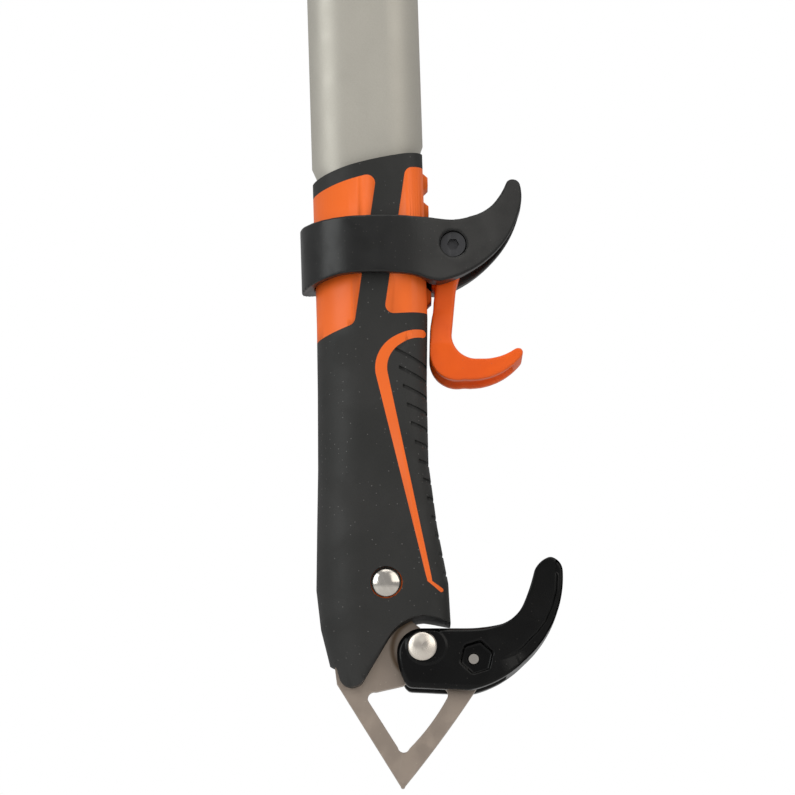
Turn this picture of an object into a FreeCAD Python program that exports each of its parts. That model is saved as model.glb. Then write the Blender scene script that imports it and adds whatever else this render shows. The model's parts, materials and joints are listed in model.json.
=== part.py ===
import FreeCAD, Part
import math
import os

from FreeCAD import Matrix, Placement, Rotation, Vector

# An ice climbing tool, in millimetres.
# It is drawn in a frame of its own: height 0 at the tip of the spike, +Z up the shaft,
# +X to the front, where the pick and the finger rests are, and Y across the blade.
# At the end everything moves so that the eye in the head, which it hangs from, is the origin.

# Shaft: a hydroformed tube that leans back a little in the hand and bends forward under the head
AXIS_AT_TIP = 4.25
HANDLE_LEAN = 1.8
SHAFT_WIDTH = 31.6
SHAFT_THICKNESS = 21.0
SHAFT_WALL = 1.6
BEND_START = 322.0
BEND_RADIUS = 185.0
SHAFT_BEND = 30.0
TOP_STRAIGHT = 38.0

# Neck: the narrower stretch of the tube inside the grip, and the sloping step above it
NECK_WIDTH = 25.4
NECK_THICKNESS = 17.0
NECK_FOOT = 50.5
STEP_TOP = 179.0
STEP_LENGTH = 8.0
STEP_TILT = 10.2

# Grip: a straight stretch that the trigger rest slides on, then a palm swell and a flared foot
GRIP_REAR = 15.75
GRIP_FRONT = 15.5
GRIP_HALF = 13.3
GRIP_CORNER = 6.0
RIM_BACK = (-18.0, 170.4)
RIM_MIDDLE = (-1.3, 175.8)
RIM_FRONT = (18.0, 178.6)
SLIDE_FOOT = 131.0
COVER_WALL = 1.6
CORE_FRONT_LOW = 12.7
CORE_TAPER_TOP = 54.0
CORE_TOP_GAP = 2.0
# Below the straight stretch: height along the axis, rear, front and half thickness
GRIP_STATIONS = [
    (112.0, 16.05, 14.70, 13.40),
    (90.0, 16.60, 14.45, 13.40),
    (72.0, 17.40, 16.30, 13.35),
    (56.0, 18.05, 18.90, 12.90),
    (45.0, 17.10, 19.20, 12.00),
    (34.0, 14.70, 17.60, 10.40),
    (23.0, 11.20, 15.00, 8.50),
]

# Windows and stripe in the grip's cover
WINDOW_TOP_GAP = 4.1
WINDOW_LEAN = 0.144
WINDOW_CORNER = 2.4
BACK_WINDOW_FOOT = (-4.85, 129.2)
BACK_WINDOW_FOOT_SLOPE = 0.36
FRONT_WINDOW_FOOT = (3.4, 131.95)
FRONT_WINDOW_FOOT_SLOPE = 0.05
STRIPE_INNER_TOP = (4.5, 114.9)
STRIPE_INNER_FOOT = (16.65, 57.9)
STRIPE_WIDTH = 3.4
STRIPE_WIDTH_FOOT = 1.6

# Finger grooves across the front of the grip
GROOVE_COUNT = 13
GROOVE_TOP = 122.6
GROOVE_PITCH = 5.25
GROOVE_WIDTH = 1.1
GROOVE_DEPTH = 0.5
GROOVE_START_GAP = 3.6

# Ratchet knobs on the front of the core
KNOB_COUNT = 5
KNOB_PITCH = 8.2
KNOB_LOWEST = 138.0
KNOB_HEIGHT = 1.35
KNOB_FOOT = 4.8
KNOB_FLAT = 2.3
KNOB_HALF_WIDTH = 4.6

# Spike plate
PLATE_THICKNESS = 4.0
SPIKE_TIP_X = 8.72
SPIKE_BLUNTNESS = 0.6
PLATE_LEFT = (-9.75, 29.2)
PLATE_RIGHT = (29.12, 27.5)
PLATE_RIGHT_BULGE = 0.3
TANG_TOP = 98.0
TANG_HALF = 7.4
EYE_LEFT = (-0.9, 24.2)
EYE_TOP_LEFT = (1.2, 26.9)
EYE_TOP = 30.4
EYE_RIGHT = (21.1, 25.2)
EYE_FOOT = (8.9, 9.9)

# Lower hand rest, held to the plate by a rivet and a cross pin
REST_RIVET_X = 14.05
REST_RIVET_Z = 38.9
REST_HALF = 9.5
REST_TIP_HALF = 6.6
REST_CHANNEL = 10.0
REST_WEB = 3.9
REST_EDGE = 1.0
REST_TOP = 5.15
REST_LIP_RUNS = 3
REST_EAR_RADIUS = 5.0
REST_RIVET_RADIUS = 2.5
REST_RIVET_HEAD_RADIUS = 4.05
REST_RIVET_HEAD = 1.6
CROSS_PIN_X = 28.4
CROSS_PIN_Z = 35.6
CROSS_PIN_RADIUS = 1.4
POCKET_FLATS = 8.3
POCKET_DEPTH = 3.4
POCKET_OFFSET_X = 0.85
POCKET_OFFSET_Z = 0.3
POCKET_TURN = 17.0

# Rivet and pin through grip, tube and tang
SPIKE_RIVET_X = 4.0
SPIKE_RIVET_Z = 56.6
SPIKE_RIVET_RADIUS = 2.5
SPIKE_RIVET_HEAD_RADIUS = 4.2
SPIKE_RIVET_SEAT = 11.0
SPIKE_RIVET_DOME = 2.3
RIVET_CLEARANCE = 0.45
TANG_PIN_Z = 88.0
TANG_PIN_RADIUS = 2.0

# Trigger rest: a loop round the grip with a horn, and the screw that its lever turns on
COLLAR_CLEARANCE = 0.35
COLLAR_SIDE_WALL = 3.4
COLLAR_REAR_WALL = 3.6
SCREW_X = 22.8
SCREW_Z = 152.15
CHEEK_HALF = 12.2
HORN_TIP_HALF = 3.9
SCREW_RADIUS = 2.0
SCREW_HEAD_RADIUS = 3.5
SCREW_HEAD = 2.8
SCREW_SINK = 1.5
RECESS_RADIUS = 3.7
SCREW_HEX_FLATS = 3.0
SCREW_HEX_DEPTH = 1.8
NUT_FLATS = 7.0
NUT_HEIGHT = 3.2
BUSH_RADIUS = 3.0

# Trigger lever
LEVER_HALF = 6.2
LEVER_HOOK_HALF = 9.0
LEVER_SIDE_GAP = 0.3
LEVER_HUB_RADIUS = 4.8
LEVER_RUNNING_GAP = 0.05
LEVER_GROOVE_HALF = 5.6
LEVER_GROOVE_DEPTH = 2.2
NOSE_GAP = 0.2
NOSE_DROP = 10.05
SPRING_WIRE = 0.8
SPRING_RADIUS = 4.05
SPRING_TURNS = 2.0
SPRING_PITCH = 1.5
SPRING_SLOT = 5.2
# Its straight legs are a little thinner than the coil and start inside its ends.
# Each is given by points measured from where the coil's wire ends.
SPRING_LEG = 0.66
SPRING_ARM_LEG = [(-0.02, 0.4), (-0.65, -6.2)]
SPRING_WEB_LEG = [(-0.02, -0.4), (0.0, 0.5), (3.6, 3.4)]

# Head: forged, with a spigot in the shaft, cheeks that hold the pick and the hammer, and an eye
HEAD_THICKNESS = 14.0
HEAD_EYE_RADIUS = 8.0
HEAD_EYE_WALL = 6.5
HEAD_EYE_HEIGHT = 38.0
HEAD_REACH = 41.0
HEAD_BACK = 36.5
HEAD_CHEEK_TOP = 31.5
HEAD_SHOULDER = 9.0
BLADE_RISE = 15.0
SLOT_FLOOR = 12.5
SLOT_GAP = 0.05
SPIGOT_LENGTH = 30.0
SPIGOT_GAP = 0.05
BOLT_RADIUS = 4.0
BOLT_HOLE_RADIUS = 4.15
BOLT_FLATS = 13.0
BOLT_HEAD = 5.3
BOLT_NUT = 6.5
BOLT_END = 1.5
PICK_BOLT = (HEAD_REACH - 14.0, 20.0)
HAMMER_BOLT = (11.5 - HEAD_BACK, 20.5)
HEAD_RIVET_RADIUS = 2.5
HEAD_RIVET_HEAD_RADIUS = 3.9
HEAD_RIVET_HEAD = 0.9
HEAD_RIVET_DEPTHS = [8.0, 21.0]

# Pick
PICK_THICKNESS = 4.0
PICK_TIP = (163.0, -24.5)
PICK_TIP_THICKNESS = 1.6
PICK_TAPER_LENGTH = 16.0
TOOTH_COUNT = 12
TOOTH_PITCH = 8.2
TOOTH_DEPTH = 2.6
TOOTH_START = 9.0

# Hammer
HAMMER_LENGTH = 26.0
HAMMER_FACE_WIDTH = 22.0
HAMMER_FACE_HEIGHT = 23.0
HAMMER_NECK_WIDTH = 13.5
HAMMER_NECK_HEIGHT = 15.0
HAMMER_CHAMFER = 1.5
HAMMER_CENTRE = 20.5
HAMMER_TANG = 17.0

# Everything is cut a little past the surfaces it opens, and what cuts reaches clear of the handle
PAST = 5.0
REACH = 2 * SHAFT_WIDTH


def axis_x(height):
    """Where the handle's axis passes a height. It leans back as it rises."""
    return AXIS_AT_TIP - height * math.tan(math.radians(HANDLE_LEAN))


def on_axis(shape):
    """Carries a shape drawn upright, about its own Z axis, onto the leaning axis of the handle."""
    lean = Placement(Vector(AXIS_AT_TIP, 0, 0), Rotation(Vector(0, 1, 0), -HANDLE_LEAN))
    shape = shape.copy()
    shape.Placement = lean.multiply(shape.Placement)
    return shape


def oval(rear, front, half, height):
    """A level section with flat sides and half-round ends, drawn about the upright axis."""
    back = half - rear
    fore = front - half
    return closed_outline([
        [(front, 0), (fore, half)],
        [(back, half)],
        [(-rear, 0), (back, -half)],
        [(fore, -half)],
    ], level(height))


def oval_bar(rear, front, half, low, high):
    """A straight bar of that section."""
    return Part.Face(oval(rear, front, half, low)).extrude(Vector(0, 0, high - low))


def upright(x, z):
    """A point of a side view."""
    return Vector(x, 0, z)


def level(height):
    """Makes points of a view from above, at a height."""
    return lambda x, y: Vector(x, y, height)


def closed_outline(runs, point=upright):
    """A closed outline. Each run goes on from the end of the one before:
    one point is a straight line, two an arc, and more a smooth curve through them."""
    edges = []
    last = runs[-1][-1]
    for run in runs:
        points = [point(first, second) for first, second in [last] + run]
        if len(points) == 2:
            edges.append(Part.LineSegment(points[0], points[1]).toShape())
        elif len(points) == 3:
            edges.append(Part.Arc(points[0], points[1], points[2]).toShape())
        else:
            curve = Part.BSplineCurve()
            curve.interpolate(points)
            edges.append(curve.toShape())
        last = run[-1]
    return Part.Wire(edges)


def moved_runs(runs, x, z):
    """The same runs, measured from another point."""
    return [[(x + across, z + up) for across, up in run] for run in runs]


def slab(wire, low, high):
    """An upright outline in the X, Z plane, made solid from one Y to another."""
    face = Part.Face(wire)
    face.translate(Vector(0, low, 0))
    return face.extrude(Vector(0, high - low, 0))


def flat_face(corners):
    """The flat face inside a polygon."""
    return Part.Face(Part.makePolygon(corners + corners[:1]))


def level_slab(points, low, high):
    """An outline in the X, Y plane, made solid from one height to another."""
    face = flat_face([Vector(x, y, low) for x, y in points])
    return face.extrude(Vector(0, 0, high - low))


def pin(x, z, radius, low, high):
    """A round bar across the tool."""
    return Part.makeCylinder(radius, high - low, Vector(x, low, z), Vector(0, 1, 0))


def hexagon(x, z, flats, low, high, turn=0.0):
    """A six-sided bar across the tool."""
    reach = flats / math.sqrt(3)
    corners = []
    for side in range(6):
        angle = math.radians(60 * side + turn)
        corners.append(Vector(x + reach * math.cos(angle), low, z + reach * math.sin(angle)))
    return flat_face(corners).extrude(Vector(0, high - low, 0))


def grip_section(rear, front, half, height, inset=0.0):
    """A level section of the grip: half-round behind for the palm, with a flat front."""
    rear -= inset
    front -= inset
    half -= inset
    corner = GRIP_CORNER - inset
    back = half - rear
    fore = front - corner
    flat = half - corner
    slant = corner * math.sqrt(0.5)
    return closed_outline([
        [(front, flat)],
        [(fore + slant, flat + slant), (fore, half)],
        [(back, half)],
        [(-rear, 0), (back, -half)],
        [(fore, -half)],
        [(fore + slant, -flat - slant), (front, -flat)],
    ], level(height))


def grip_bar(low, high, inset):
    """A straight bar of the section that the trigger rest slides on."""
    face = Part.Face(grip_section(GRIP_REAR, GRIP_FRONT, GRIP_HALF, low, inset))
    return face.extrude(Vector(0, 0, high - low))


def below_rim(drop):
    """Everything under the curve of the grip's rim, or under the same curve lowered by a drop."""
    back, middle, front = [(x, z - drop) for x, z in (RIM_BACK, RIM_MIDDLE, RIM_FRONT)]
    runs = [
        [middle, front],
        [(REACH, front[1])],
        [(REACH, -REACH)],
        [(-REACH, -REACH)],
        [(-REACH, back[1])],
        [back],
    ]
    return slab(closed_outline(runs), -REACH, REACH)


def below_step(height):
    """Everything under a plane that slopes as the step in the tube does."""
    rise = REACH * math.tan(math.radians(STEP_TILT))
    runs = [[(REACH, height + rise)], [(REACH, -REACH)], [(-REACH, -REACH)], [(-REACH, height - rise)]]
    return slab(closed_outline(runs), -REACH, REACH)


def bend_end():
    """The upright frame's place and direction where the bend ends."""
    turn = math.radians(SHAFT_BEND)
    x = BEND_RADIUS * (1 - math.cos(turn))
    z = BEND_START + BEND_RADIUS * math.sin(turn)
    return Placement(Vector(x, 0, z), Rotation(Vector(0, 1, 0), SHAFT_BEND))


def head_frame():
    """The head's own frame: where the shaft ends, with Z along the shaft there."""
    lean = Placement(Vector(AXIS_AT_TIP, 0, 0), Rotation(Vector(0, 1, 0), -HANDLE_LEAN))
    return lean.multiply(bend_end()).multiply(Placement(Vector(0, 0, TOP_STRAIGHT), Rotation()))


def tube_solid(inset):
    """The whole tube as a filled solid, or its inside when inset by the wall."""
    past = PAST if inset else 0.0
    reach = SHAFT_WIDTH / 2 - inset
    half = SHAFT_THICKNESS / 2 - inset
    straight = oval_bar(reach, reach, half, STEP_TOP - 2 * PAST, BEND_START)
    bend_face = Part.Face(oval(reach, reach, half, BEND_START))
    bend = bend_face.revolve(Vector(BEND_RADIUS, 0, BEND_START), Vector(0, 1, 0), SHAFT_BEND)
    top = oval_bar(reach, reach, half, 0.0, TOP_STRAIGHT + past)
    top.Placement = bend_end()
    upper = straight.cut(below_step(STEP_TOP)).fuse([bend, top])

    neck_reach = NECK_WIDTH / 2 - inset
    neck_half = NECK_THICKNESS / 2 - inset
    step = Part.makeLoft([
        oval(reach, reach, half, STEP_TOP),
        oval(neck_reach, neck_reach, neck_half, STEP_TOP - STEP_LENGTH),
    ], True, True)
    shear = Matrix()
    shear.A31 = math.tan(math.radians(STEP_TILT))
    step = step.transformGeometry(shear)
    neck = oval_bar(neck_reach, neck_reach, neck_half, NECK_FOOT - past, STEP_TOP + PAST)
    neck = neck.common(below_step(STEP_TOP - STEP_LENGTH))
    return on_axis(upper.fuse([step, neck]).removeSplitter())


def grip_solid(inset):
    """The grip's outer form, or one set in under its surface."""
    swell = [grip_section(GRIP_REAR, GRIP_FRONT, GRIP_HALF, SLIDE_FOOT, inset)]
    for height, rear, front, half in GRIP_STATIONS:
        swell.append(grip_section(rear, front, half, height, inset))
    lower = Part.makeLoft(swell, True, True)
    return on_axis(grip_bar(SLIDE_FOOT, STEP_TOP + 2 * PAST, inset).fuse(lower))


def core_blank():
    """The core's own form under the cover: two straight stretches and a taper over the plate."""
    wall = COVER_WALL
    waist = grip_section(GRIP_REAR, CORE_FRONT_LOW, GRIP_HALF, CORE_TAPER_TOP, wall)
    lower = Part.Face(waist).extrude(Vector(0, 0, SLIDE_FOOT - CORE_TAPER_TOP))
    foot, rear, front, half = GRIP_STATIONS[-1]
    taper = Part.makeLoft([waist, grip_section(rear, front, half, foot, wall)], True, True)
    blank = on_axis(grip_bar(SLIDE_FOOT, STEP_TOP, wall).fuse([lower, taper]))
    return blank.common(below_rim(CORE_TOP_GAP)).cut(grip_underside(wall))


def grip_underside(rise):
    """The space under the grip: the tongue over the plate and the arch over the hand rest."""
    runs = [
        [(-30.0, 39.0)],
        [(-9.9, 33.6)],
        [(-9.1, 31.0)],
        [(-6.2, 27.9), (-2.4, 29.4)],
        [(4.4, 40.9)],
        [(8.8, 45.5), (14.6, 47.4)],
        [(19.6, 46.4), (24.4, 44.6)],
        [(40.0, 44.6)],
        [(40.0, -20.0)],
        [(-30.0, -20.0)],
    ]
    return slab(closed_outline(moved_runs(runs, -rise / 2, rise)), -REACH, REACH)


def window(foot, slope, out):
    """One window as a bar through the grip, open at one side, with its inner corners rounded."""
    x, z = foot
    top = RIM_FRONT[1]
    runs = [[foot], [(x + (top - z) * WINDOW_LEAN, top)], [(out, top)], [(out, z + (out - x) * slope)]]
    bar = slab(closed_outline(runs), -REACH / 2, REACH / 2).common(below_rim(WINDOW_TOP_GAP))
    inner = [edge for edge in bar.Edges if edge.BoundBox.YLength > REACH / 2
             and abs(edge.CenterOfMass.x) < abs(BACK_WINDOW_FOOT[0]) + WINDOW_CORNER * 2]
    return bar.makeFillet(WINDOW_CORNER, [edge for edge in inner if edge.BoundBox.XLength < 0.01])


def stripe_tool():
    """The stripe: it starts at the front, turns round a bend and runs down to the flare."""
    top_x, top_z = STRIPE_INNER_TOP
    foot_x, foot_z = STRIPE_INNER_FOOT
    wide = STRIPE_WIDTH
    thin = STRIPE_WIDTH_FOOT
    runs = [
        [(9.7, 127.0), (5.7, 125.2)],
        [(1.9, 120.9), (top_x - wide, top_z)],
        [(foot_x - thin, foot_z + 0.6)],
        [(foot_x - thin + 0.5, foot_z - 1.2)],
        [(18.9, 54.0)],
        [(19.9, 54.1), (19.6, 54.9)],
        [(foot_x + 0.2, foot_z - 1.2)],
        [(foot_x, foot_z)],
        [(top_x, top_z)],
        [(5.2, 120.4), (8.2, 123.5)],
        [(11.1, 124.9), (14.3, 125.4)],
        [(15.15, 126.5), (14.3, 127.6)],
    ]
    return slab(closed_outline(runs), -REACH / 2, REACH / 2)


def stripe_x(height):
    """The front edge of the stripe's straight run."""
    top_x, top_z = STRIPE_INNER_TOP
    foot_x, foot_z = STRIPE_INNER_FOOT
    return foot_x + (height - foot_z) / (top_z - foot_z) * (top_x - foot_x)


def finger_grooves(outer):
    """Shallow grooves round the front of the grip, between the stripe's two sides."""
    skin = outer.cut(grip_solid(GROOVE_DEPTH))
    bars = []
    for row in range(GROOVE_COUNT):
        height = GROOVE_TOP - row * GROOVE_PITCH
        start = stripe_x(height) + GROOVE_START_GAP
        slope = 0.55 * (1 - row / (GROOVE_COUNT - 1))
        rise = slope * (40.0 - start)
        runs = [
            [(start, height)],
            [(start, height - GROOVE_WIDTH)],
            [(40.0, height - GROOVE_WIDTH - rise)],
            [(40.0, height - rise)],
        ]
        bars.append(slab(closed_outline(runs), -REACH, REACH))
    return skin.common(Part.makeCompound(bars))


def ratchet_knobs():
    """The knobs on the front of the core: bars across it with sloping flanks."""
    knobs = []
    root = GRIP_FRONT - 2 * KNOB_HEIGHT
    top = GRIP_FRONT + KNOB_HEIGHT
    for count in range(KNOB_COUNT):
        height = KNOB_LOWEST + count * KNOB_PITCH
        runs = [
            [(root, height - KNOB_FOOT / 2)],
            [(GRIP_FRONT, height - KNOB_FOOT / 2)],
            [(top, height - KNOB_FLAT / 2)],
            [(top, height + KNOB_FLAT / 2)],
            [(GRIP_FRONT, height + KNOB_FOOT / 2)],
            [(root, height + KNOB_FOOT / 2)],
        ]
        knobs.append(on_axis(slab(closed_outline(runs), -KNOB_HALF_WIDTH, KNOB_HALF_WIDTH)))
    return knobs


def shaft():
    """The tube, with holes for the rivets at both ends."""
    tube = tube_solid(0.0).cut(tube_solid(SHAFT_WALL))
    tube = tube.cut(spike_rivet_hole(SPIKE_RIVET_RADIUS))
    tube = tube.cut(pin(tang_pin_x(), TANG_PIN_Z, TANG_PIN_RADIUS, -REACH, REACH))
    for hole in head_rivet_bars(HEAD_RIVET_RADIUS):
        tube = tube.cut(hole)
    return tube


def tang_pin_x():
    """Where the hidden pin crosses the handle's axis."""
    return axis_x(TANG_PIN_Z)


def spike_rivet_hole(radius):
    """A bar across the grip where its rivet goes."""
    return pin(SPIKE_RIVET_X, SPIKE_RIVET_Z, radius, -REACH, REACH)


def core_and_cover():
    """The hard core moulded on the tube, and the soft cover moulded over the core."""
    outer = grip_solid(0.0)
    tube = tube_solid(0.0)
    plate = spike_plate_blank()
    openings = [
        window(BACK_WINDOW_FOOT, BACK_WINDOW_FOOT_SLOPE, -REACH / 2),
        window(FRONT_WINDOW_FOOT, FRONT_WINDOW_FOOT_SLOPE, REACH / 2),
        stripe_tool(),
    ]
    shank = spike_rivet_hole(SPIKE_RIVET_RADIUS)

    blank = core_blank()
    raised = outer.common(Part.makeCompound(openings)).cut(blank)
    knobs = ratchet_knobs()
    core = blank.fuse([raised]).fuse(knobs)
    core = core.cut(tube).cut(plate).cut(shank)
    for side in (-1, 1):
        core = core.cut(rivet_seat(side, SPIKE_RIVET_HEAD_RADIUS))

    cover = outer.common(below_rim(0.0)).cut(grip_underside(0.0))
    cover = cover.cut(blank).cut(tube).cut(plate)
    for opening in openings + knobs:
        cover = cover.cut(opening)
    cover = cover.cut(spike_rivet_hole(SPIKE_RIVET_HEAD_RADIUS + RIVET_CLEARANCE))
    cover = cover.cut(finger_grooves(outer))
    return core, cover


def rivet_seat(side, radius):
    """The flat counterbore in the core that a rivet head sits in."""
    low = min(side * SPIKE_RIVET_SEAT, side * (GRIP_HALF + PAST))
    high = max(side * SPIKE_RIVET_SEAT, side * (GRIP_HALF + PAST))
    return pin(SPIKE_RIVET_X, SPIKE_RIVET_Z, radius, low, high)


def spike_plate_blank():
    """The plate's outline without its eye and holes: spike, ears for the rest, and the tang."""
    half = TANG_HALF
    left_x, left_z = PLATE_LEFT
    right_x, right_z = PLATE_RIGHT
    ear = REST_EAR_RADIUS
    bulge = PLATE_RIGHT_BULGE
    tip = SPIKE_BLUNTNESS
    ear_right = REST_RIVET_X + ear
    ear_bulge = (REST_RIVET_X + ear * 0.8, REST_RIVET_Z + ear * 0.6)
    ear_top = (REST_RIVET_X + ear * 0.1, REST_RIVET_Z + ear)
    limb_top = CROSS_PIN_Z + CROSS_PIN_RADIUS + 2.0
    right_bulge = ((SPIKE_TIP_X + tip + right_x) / 2 + bulge, (tip + right_z) / 2 - bulge)
    runs = [
        [(SPIKE_TIP_X, 0.0), (SPIKE_TIP_X + tip, tip)],
        [right_bulge, (right_x, right_z)],
        [(CROSS_PIN_X + 4.4, CROSS_PIN_Z - 0.2)],
        [(CROSS_PIN_X + 4.2, limb_top - 0.6), (CROSS_PIN_X + 2.6, limb_top)],
        [(ear_right + 1.0, limb_top)],
        [ear_bulge, ear_top],
        [(axis_x(NECK_FOOT) + half, NECK_FOOT - 3.0)],
        [(axis_x(TANG_TOP) + half, TANG_TOP)],
        [(axis_x(TANG_TOP) - half, TANG_TOP)],
        [(axis_x(NECK_FOOT) - half, NECK_FOOT - 3.0)],
        [(left_x + 0.2, 42.0)],
        [(left_x - 0.5, 33.0)],
        [(left_x, left_z)],
        [(SPIKE_TIP_X - tip, tip)],
    ]
    return slab(closed_outline(runs), -PLATE_THICKNESS / 2, PLATE_THICKNESS / 2)


def spike_plate():
    """The plate with its eye, its bevelled spike edges and the holes for rivets and pins."""
    plate = spike_plate_blank()
    foot_x, foot_z = EYE_FOOT
    left_x, left_z = EYE_LEFT
    top_x, top_z = EYE_TOP_LEFT
    right_x, right_z = EYE_RIGHT
    foot_right = (foot_x + 1.6, foot_z + 1.1)
    right_middle = ((right_x + foot_right[0]) / 2 + 0.5, (right_z + foot_right[1]) / 2 - 0.4)
    runs = [
        [(left_x - 0.1, top_z - 1.2), (top_x, top_z)],
        [(REST_RIVET_X - 5.3, top_z + 1.7)],
        [(REST_RIVET_X, EYE_TOP), (REST_RIVET_X + 5.4, top_z + 1.4)],
        [(right_x - 0.2, right_z + 2.1), (right_x, right_z)],
        [right_middle, foot_right],
        [(foot_x, foot_z), (foot_x - 1.6, foot_z + 1.4)],
        [(left_x, left_z)],
    ]
    half = PLATE_THICKNESS / 2
    plate = plate.cut(slab(closed_outline(runs), -half - PAST, half + PAST))
    for x, z, radius in (
        (REST_RIVET_X, REST_RIVET_Z, REST_RIVET_RADIUS),
        (CROSS_PIN_X, CROSS_PIN_Z, CROSS_PIN_RADIUS),
        (SPIKE_RIVET_X, SPIKE_RIVET_Z, SPIKE_RIVET_RADIUS),
        (tang_pin_x(), TANG_PIN_Z, TANG_PIN_RADIUS),
    ):
        plate = plate.cut(pin(x, z, radius, -half - PAST, half + PAST))
    return plate


def tang_spacer(side):
    """Packing between one face of the tang and the tube."""
    reach = NECK_WIDTH / 2 - SHAFT_WALL
    half = NECK_THICKNESS / 2 - SHAFT_WALL
    foot = NECK_FOOT + 1.0
    block = on_axis(oval_bar(reach, reach, half, foot, TANG_TOP))
    corner = Vector(-REACH / 2, -REACH, foot - PAST)
    block = block.cut(Part.makeBox(REACH, REACH + PLATE_THICKNESS / 2, REACH, corner))
    block = block.cut(spike_rivet_hole(SPIKE_RIVET_RADIUS))
    block = block.cut(pin(tang_pin_x(), TANG_PIN_Z, TANG_PIN_RADIUS, -REACH, REACH))
    if side < 0:
        block = block.mirror(Vector(0, 0, 0), Vector(0, 1, 0))
    return block


def domed_rivet(x, z, shank, head, seat, dome):
    """A bar across the tool with a low dome on each end."""
    rise = dome * 0.55
    ball_radius = (rise * rise + head * head) / (2 * rise)
    rivet = pin(x, z, shank, -seat - dome / 2, seat + dome / 2)
    for side in (-1, 1):
        top = side * (seat + dome)
        ball = Part.makeSphere(ball_radius, Vector(x, top - side * ball_radius, z))
        disc = pin(x, z, head, min(side * seat, top), max(side * seat, top))
        rivet = rivet.fuse(disc.common(ball))
    return rivet.removeSplitter()


def spike_rivet():
    """The domed rivet that holds the plate in the tube and shows on the grip."""
    return domed_rivet(SPIKE_RIVET_X, SPIKE_RIVET_Z, SPIKE_RIVET_RADIUS, SPIKE_RIVET_HEAD_RADIUS,
                       SPIKE_RIVET_SEAT, SPIKE_RIVET_DOME)


def tang_pin():
    """The second pin through tube and tang, flush under the core."""
    reach = NECK_THICKNESS / 2
    return pin(tang_pin_x(), TANG_PIN_Z, TANG_PIN_RADIUS, -reach, reach)


def rest_runs():
    """Side outline of the hand rest, from the rivet: lip, back of the hook, tip, finger side."""
    return [
        [(-6.6, -5.4), (-4.6, -10.4)],
        [(-3.5, -11.4)],
        [(13.1, -12.2)],
        [(21.3, -9.3), (28.5, -3.9)],
        [(34.9, 3.8), (38.4, 12.2)],
        [(39.2, 16.8), (39.3, 21.6)],
        [(38.1, 24.2), (35.7, 25.4)],
        [(33.3, 24.1), (31.3, 21.4)],
        [(30.0, 16.7), (28.3, 12.2)],
        [(25.7, 8.5), (21.9, 6.3)],
        [(16.6, 5.4), (11.0, REST_TOP)],
        [(0.0, REST_TOP)],
        [(-5.2, 2.9), (-7.05, -1.2)],
    ]


def grip_rest():
    """The moulded hand rest: two cheeks and a web that straddle the plate, then a solid hook."""
    runs = rest_runs()
    body = slab(closed_outline(moved_runs(runs, REST_RIVET_X, REST_RIVET_Z)), -REST_HALF, REST_HALF)
    body = body.makeChamfer(REST_EDGE, rim_edges(body, REST_HALF)[:2 * REST_LIP_RUNS])
    x = REST_RIVET_X
    side = [(x - 20, REST_HALF), (x + 18, REST_HALF), (x + 42, REST_TIP_HALF)]
    plan = [(x, -y) for x, y in side] + side[::-1]
    body = body.common(level_slab(plan, REST_RIVET_Z - 40, REST_RIVET_Z + 50))
    half = REST_CHANNEL / 2
    web = REST_TOP - REST_WEB
    channel = [
        [(-12.0, 9.0)],
        [(6.2, 9.0)],
        [(6.2, web)],
        [(19.0, web)],
        [(23.0, 0.0), (23.5, -3.5)],
        [(23.0, -18.0)],
        [(-12.0, -18.0)],
    ]
    body = body.cut(slab(closed_outline(moved_runs(channel, x, REST_RIVET_Z)), -half, half))
    body = body.cut(pin(x, REST_RIVET_Z, REST_RIVET_RADIUS, -REACH, REACH))
    pocket = hexagon(CROSS_PIN_X + POCKET_OFFSET_X, CROSS_PIN_Z + POCKET_OFFSET_Z, POCKET_FLATS,
                     -REST_HALF - PAST, -REST_HALF + POCKET_DEPTH, POCKET_TURN)
    body = body.cut(pocket)
    return body.cut(pin(CROSS_PIN_X, CROSS_PIN_Z, CROSS_PIN_RADIUS, -40.0, half + 2.0))


def rim_edges(body, half):
    """The edges round both side faces of a slab, two for each run of its outline, in order."""
    edges = []
    for edge in body.Edges:
        ends = [edge.valueAt(edge.FirstParameter), edge.valueAt(edge.LastParameter)]
        if all(abs(abs(end.y) - half) < 0.01 for end in ends) and ends[0].y * ends[1].y > 0:
            edges.append(edge)
    return edges


def flat_rivet(x, z, shank, head, seat, height):
    """A bar across the tool with a flat head on each end, chamfered round its rim."""
    rivet = pin(x, z, shank, -seat, seat)
    for side in (-1, 1):
        low = min(side * seat, side * (seat + height))
        disc = pin(x, z, head, low, low + height)
        rim = [edge for edge in disc.Edges if abs(edge.CenterOfMass.y) > seat + height * 0.9]
        rivet = rivet.fuse(disc.makeChamfer(height * 0.3, rim))
    return rivet.removeSplitter()


def rest_rivet():
    """The rivet of the hand rest, with flat turned heads."""
    return flat_rivet(REST_RIVET_X, REST_RIVET_Z, REST_RIVET_RADIUS, REST_RIVET_HEAD_RADIUS,
                      REST_HALF, REST_RIVET_HEAD)


def rest_spacers():
    """A sleeve on the rivet at each side of the plate."""
    low = PLATE_THICKNESS / 2
    high = REST_CHANNEL / 2
    sleeve = pin(REST_RIVET_X, REST_RIVET_Z, REST_EAR_RADIUS - 0.5, low, high)
    sleeve = sleeve.cut(pin(REST_RIVET_X, REST_RIVET_Z, REST_RIVET_RADIUS, -REACH, REACH))
    return Part.makeCompound([sleeve, sleeve.mirror(Vector(0, 0, 0), Vector(0, 1, 0))])


def rest_cross_pin():
    """The pin across the channel, through both cheeks and the plate."""
    return pin(CROSS_PIN_X, CROSS_PIN_Z, CROSS_PIN_RADIUS, -REST_HALF + POCKET_DEPTH - 0.4,
               REST_CHANNEL / 2 + 2.0)


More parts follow.
